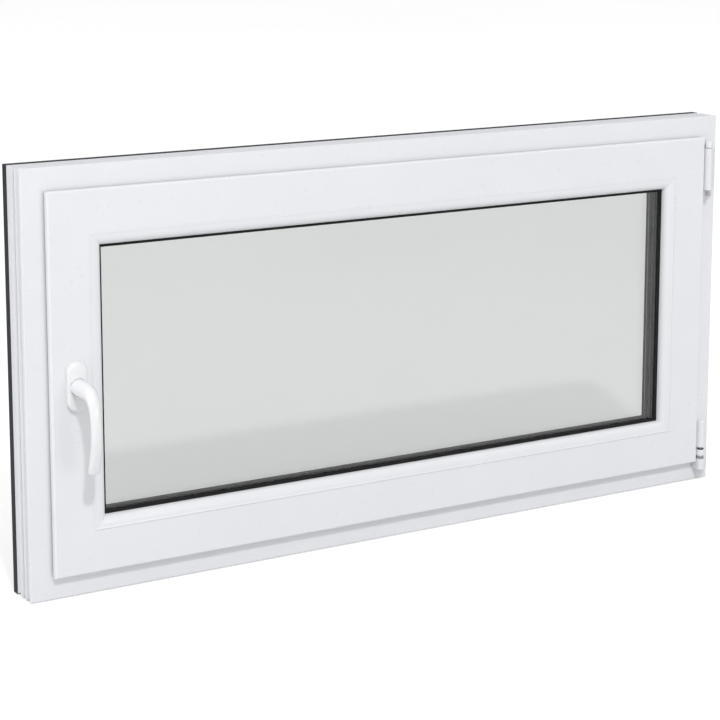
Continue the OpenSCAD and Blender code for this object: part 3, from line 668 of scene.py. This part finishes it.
def lever_ring(path, i):
    """Section of the lever at one point of its path, square to the path."""
    out, up, half_w, half_t, power = path[i]
    before, after = path[max(i - 1, 0)], path[min(i + 1, len(path) - 1)]
    run = Vector((after[0] - before[0], after[1] - before[1])).normalized()
    ring = []
    for c, s in circle(1, LEVER_SIDES):
        size = (abs(c) ** power + abs(s) ** power) ** (-1 / power)
        across, thick = half_w * c * size, half_t * s * size
        ring.append(on_handle(across, up + run.x * thick, out - run.y * thick))
    return ring


def handle_lever():
    """Collar, round neck and bowed grip in one skin, closed at the rounded tip."""
    path = smooth_line(LEVER_LINE, LEVER_STEPS)
    collar = [[on_handle(x, up, out) for x, up in circle(COLLAR_R, LEVER_SIDES)]
              for out in COLLAR_OUT]
    bm = bmesh.new()
    rows = loft(bm, collar + [lever_ring(path, i) for i in range(len(path))])
    bm.faces.new(rows[0])
    bm.faces.new(rows[-1])
    stand_in(solid("look_handle_lever", bm), "handle", "handle_white", "handle_lever")


def rose_ring(radius, straight, out):
    """Stadium outline: radius round the ends, straight is half the distance between their centres."""
    steps = 28
    upper = [(radius * math.cos(a), straight + radius * math.sin(a))
             for a in (math.pi * k / steps for k in range(steps + 1))]
    return [on_handle(x, up, out) for x, up in upper] + [on_handle(-x, -up, out) for x, up in upper]


def handle_cover():
    """Domed cover plate round the neck, hollow underneath. Sizes in mm."""
    rim, straight, wall = 15, 20, 4.2
    hole, hole_foot, crown, crown_steps = 12.4, 8.6, 0.85, 8
    under, under_out, inside = 13.6, 7.4, 13.8
    side = [(rim, 0)] + [(rim - inset, wall + rise) for inset, rise in rounding(4.6, 5, 12)[:-1]]
    rings = [rose_ring(radius, straight, out) for radius, out in side]
    edge_r, edge_out = side[-1]
    for k in range(1, crown_steps + 1):
        t = k / crown_steps
        rings.append(rose_ring(edge_r + (hole - edge_r) * t, straight * (1 - t),
                               edge_out + crown * math.sin(t * math.pi / 2)))
    # down the hole, out under the dome and down the inside of the wall
    rings += [rose_ring(hole, 0, hole_foot), rose_ring(under, straight * 0.98, under_out),
              rose_ring(inside, straight, 0)]
    bm = bmesh.new()
    rows = loft(bm, rings)
    strip(bm, rows[-1], rows[0])
    bmesh.ops.remove_doubles(bm, verts=bm.verts, dist=0.001 * MM)
    stand_in(solid("look_handle_cover", bm), "sash", "handle_white", "handle_cover")


# ---------------------------------------------------------------- hinge covers

PIN_LOW, PIN_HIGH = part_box("stay_bearing_pin")
PIN_X = (PIN_LOW.x + PIN_HIGH.x) / 2
PIN_Y = (PIN_LOW.y + PIN_HIGH.y) / 2
PIN = (PIN_X, PIN_Y)
COVER_R = 6.1 * MM              # round stretch of each cover, about the pin
COVER_WALL = 0.85 * MM
COVER_EDGE = 1.0 * MM           # radius of the top and bottom edges
COVER_BORE = 3.3 * MM
COVER_REACH = 15 * MM           # from the pin to the outer edge of a bearing cover
COVER_CORNER = 3.5 * MM
SLOPE_FROM = 298                # where the sloping side leaves the round stretch, in degrees


def stay_arm_cap():
    """Cap with a rounded top and a skirt, open where the arm leaves it."""
    low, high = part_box("stay_arm_cap")
    arm_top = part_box("stay_arm")[1].z
    edge, inner, middle = 1.4 * MM, 5.05 * MM, 0.6 * MM
    flat, dip = 1.5 * MM, 0.02 * MM
    rings = [(middle, arm_top), (inner, arm_top), (inner, low.z), (COVER_R, low.z)]
    rings += [(COVER_R - inset, high.z - edge + rise) for inset, rise in rounding(edge, edge)[:-1]]
    rings += [(COVER_R - edge - flat, high.z - dip), (middle, high.z)]
    bm = bmesh.new()
    rows = loft(bm, [[(PIN_X + x, PIN_Y + y, z) for x, y in circle(radius, 48)] for radius, z in rings])
    bm.faces.new(rows[0])
    bm.faces.new(rows[-1])
    cap = solid("look_stay_arm_cap", bm)
    notch_low = (PIN_X - 8 * MM, PIN_Y + 1.6 * MM, low.z - MM)
    notch_high = (PIN_X + 0.1 * MM, PIN_Y + 15 * MM, arm_top)
    carve(cap, (notch_low, notch_high))
    stand_in(cap, "stay", "hinge_cover_white", "stay_arm_cap")


def cover_path(inset):
    """Open outline of a bearing cover in plan: up from the frame, round the pin, down to the edge."""
    edge_x = PIN_X + COVER_REACH
    gap = 0.2 * MM
    foot = ROOM_Y - gap
    over_pin = arc(PIN, COVER_R - inset, 180, SLOPE_FROM, 26)
    over_edge = arc((edge_x - COVER_CORNER, PIN_Y + COVER_CORNER), COVER_CORNER - inset, SLOPE_FROM, 360, 8)
    return [(over_pin[0][0], foot)] + over_pin + over_edge + [(over_edge[-1][0], foot)]


def bearing_cover(node, *windows):
    """Thin shell over a bearing, open at the back and the bottom, with a bore for the pin."""
    low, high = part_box(node)
    rings = [(0, low.z)]
    rings += [(inset, high.z - COVER_EDGE + rise) for inset, rise in rounding(COVER_EDGE, COVER_EDGE)]
    bm = bmesh.new()
    rows = [[bm.verts.new((x, y, z)) for x, y in cover_path(inset)] for inset, z in rings]
    for first, second in zip(rows, rows[1:]):
        strip(bm, first, second, closed=False)
    fill(bm, rows[-1], [bm.verts.new((x, y, high.z)) for x, y in bore_outline(PIN, COVER_BORE)])
    bmesh.ops.recalc_face_normals(bm, faces=bm.faces)
    top = max(bm.faces, key=lambda face: face.calc_center_median().z)
    if top.normal.z < 0:
        bmesh.ops.reverse_faces(bm, faces=bm.faces)
    shell = new_object("look_" + node, bm)
    thick = shell.modifiers.new("wall", "SOLIDIFY")
    thick.thickness = COVER_WALL
    thick.offset = -1
    applied(shell)
    if windows:
        carve(shell, *windows)
    stand_in(shell, "frame", "hinge_cover_white", node)


def corner_window():
    """Opening in the lower cover in which the link swings round with the sash."""
    low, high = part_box("corner_link")
    gap, beside, past = 0.3 * MM, 2.5 * MM, 20 * MM
    return ((PIN_X - past, PIN_Y - past, low.z - gap),
            (PIN_X + beside, ROOM_Y + MM, high.z + gap))


def band_path(inset):
    """Closed outline of the sash-side cover: a web from the sash edge, and a barrel round the pin."""
    web_front, web_back = 12 * MM, 5 * MM
    barrel_from, barrel_to = 161, 450
    front, back = ROOM_Y - web_front + inset, ROOM_Y - web_back - inset
    edge_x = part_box("sash_stile_hinge_side")[1].x
    barrel = arc(PIN, COVER_R - inset, barrel_from, barrel_to, 40)
    return [(edge_x, front)] + barrel + [(PIN_X, back), (edge_x, back)]


def band_cover():
    """Solid cover on the sash side, with a blind bore from below for the pin."""
    low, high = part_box("corner_band_cover")
    edge, bore_r, bore_end = COVER_EDGE, 3.8 * MM, 4 * MM
    rings = [(edge - rise, low.z + inset) for inset, rise in rounding(edge, edge)]
    rings += [(inset, high.z - edge + rise) for inset, rise in rounding(edge, edge)]
    bm = bmesh.new()
    rows = loft(bm, [[(x, y, z) for x, y in band_path(inset)] for inset, z in rings])
    fill(bm, rows[-1])
    bore = [[bm.verts.new((x, y, z)) for x, y in bore_outline(PIN, bore_r)]
            for z in (low.z, high.z - bore_end)]
    fill(bm, rows[0], bore[0])
    strip(bm, *bore)
    bm.faces.new(bore[1])
    stand_in(solid("look_corner_band_cover", bm), "sash", "hinge_cover_white", "corner_band_cover")


# ---------------------------------------------------------------- stage

def add_light(name, size, power, place, target):
    """A round soft light, size across in metres, aimed at the target."""
    data = bpy.data.lights.new(name, "AREA")
    data.shape = "DISK"
    data.size = size
    data.energy = power
    light = link(bpy.data.objects.new(name, data))
    light.location = place
    light.rotation_mode = "QUATERNION"
    light.rotation_quaternion = (target - Vector(place)).to_track_quat("-Z", "Y")


def light_studio():
    """A small key light high on the left, with large soft ones beside it, in front and far left."""
    centre = Vector((0, 0, TOTAL_H / 2))
    low_centre = Vector((0, 0, 0.1))
    add_light("key", size=0.8, power=520, place=(-2.8, -8.3, 8.9), target=centre)
    add_light("soft", size=5.0, power=42, place=(-2.8, -7.5, 6.5), target=centre)
    add_light("front", size=3.0, power=66, place=(1.0, -6.0, 0.5), target=low_centre)
    add_light("left", size=2.0, power=26, place=(-3.4, 0.15, 1.0), target=centre)
    bpy.context.scene.view_settings.view_transform = "Standard"
    bpy.context.scene.cycles.use_denoising = True


def floor_material():
    m = Nodes("studio_floor")
    m.colour(m.noise(scale=0.7, detail=2), low=0.3, high=0.7,
             dark=(0.7, 0.7, 0.7), light=(0.72, 0.72, 0.72))
    m.set(Roughness=0.95, Emission_Color=(1, 1, 1, 1), Emission_Strength=0.445)
    return m.material


def add_floor():
    """A wide pale floor. Of the window, its own glow lights only the glass."""
    reach, drop = 60, 1 * MM
    bm = bmesh.new()
    corners = [(-reach, -reach), (reach, -reach), (reach, reach), (-reach, reach)]
    bm.faces.new([bm.verts.new((x, y, -drop)) for x, y in corners])
    floor = new_object("studio_floor", bm)
    floor.data.materials.append(floor_material())
    lit = bpy.data.collections.new("lit_by_floor")
    for obj in (floor, NODES["inner_pane"], NODES["outer_pane"]):
        lit.objects.link(obj)
    floor.light_linking.receiver_collection = lit


def add_world():
    """A dome of light that is brighter overhead than at the horizon."""
    horizon, overhead, strength = (0.48, 0.48, 0.49, 1), (1, 1, 1, 1), 0.86
    world = bpy.data.worlds.new("studio")
    world.use_nodes = True
    tree = world.node_tree
    place = tree.nodes.new("ShaderNodeTexCoord")
    split = tree.nodes.new("ShaderNodeSeparateXYZ")
    ramp = tree.nodes.new("ShaderNodeValToRGB")
    tree.links.new(place.outputs["Generated"], split.inputs["Vector"])
    tree.links.new(split.outputs["Z"], ramp.inputs["Fac"])
    ramp.color_ramp.elements[0].color = horizon
    ramp.color_ramp.elements[1].color = overhead
    background = tree.nodes["Background"]
    tree.links.new(ramp.outputs["Color"], background.inputs["Color"])
    background.inputs["Strength"].default_value = strength
    bpy.context.scene.world = world


def add_camera():
    """Stands in the room, left of the window and above it, looking down a little."""
    place = (-1.6952, -2.6667, 0.9932)
    yaw, pitch, roll = math.radians(31.614), math.radians(9.849), math.radians(0.036)
    data = bpy.data.cameras.new("camera")
    data.sensor_width = 36
    data.lens = 107.787
    data.shift_y = -0.165
    data.clip_start = 0.1
    data.clip_end = 200
    camera = link(bpy.data.objects.new("camera", data))
    camera.location = place
    forward = Vector((math.sin(yaw) * math.cos(pitch), math.cos(yaw) * math.cos(pitch), -math.sin(pitch)))
    turn = forward.to_track_quat("-Z", "Y")
    camera.rotation_mode = "QUATERNION"
    camera.rotation_quaternion = turn @ Matrix.Rotation(roll, 4, "Z").to_quaternion()
    bpy.context.scene.camera = camera


# ---------------------------------------------------------------- build

add_camera()
add_world()
add_floor()
light_studio()
paint_cad_nodes()
frame_bars()
sash_bars()
glazing()
handle_lever()
handle_cover()
stay_arm_cap()
bearing_cover("stay_bearing_cover")
bearing_cover("corner_bearing_cover", corner_window())
band_cover()
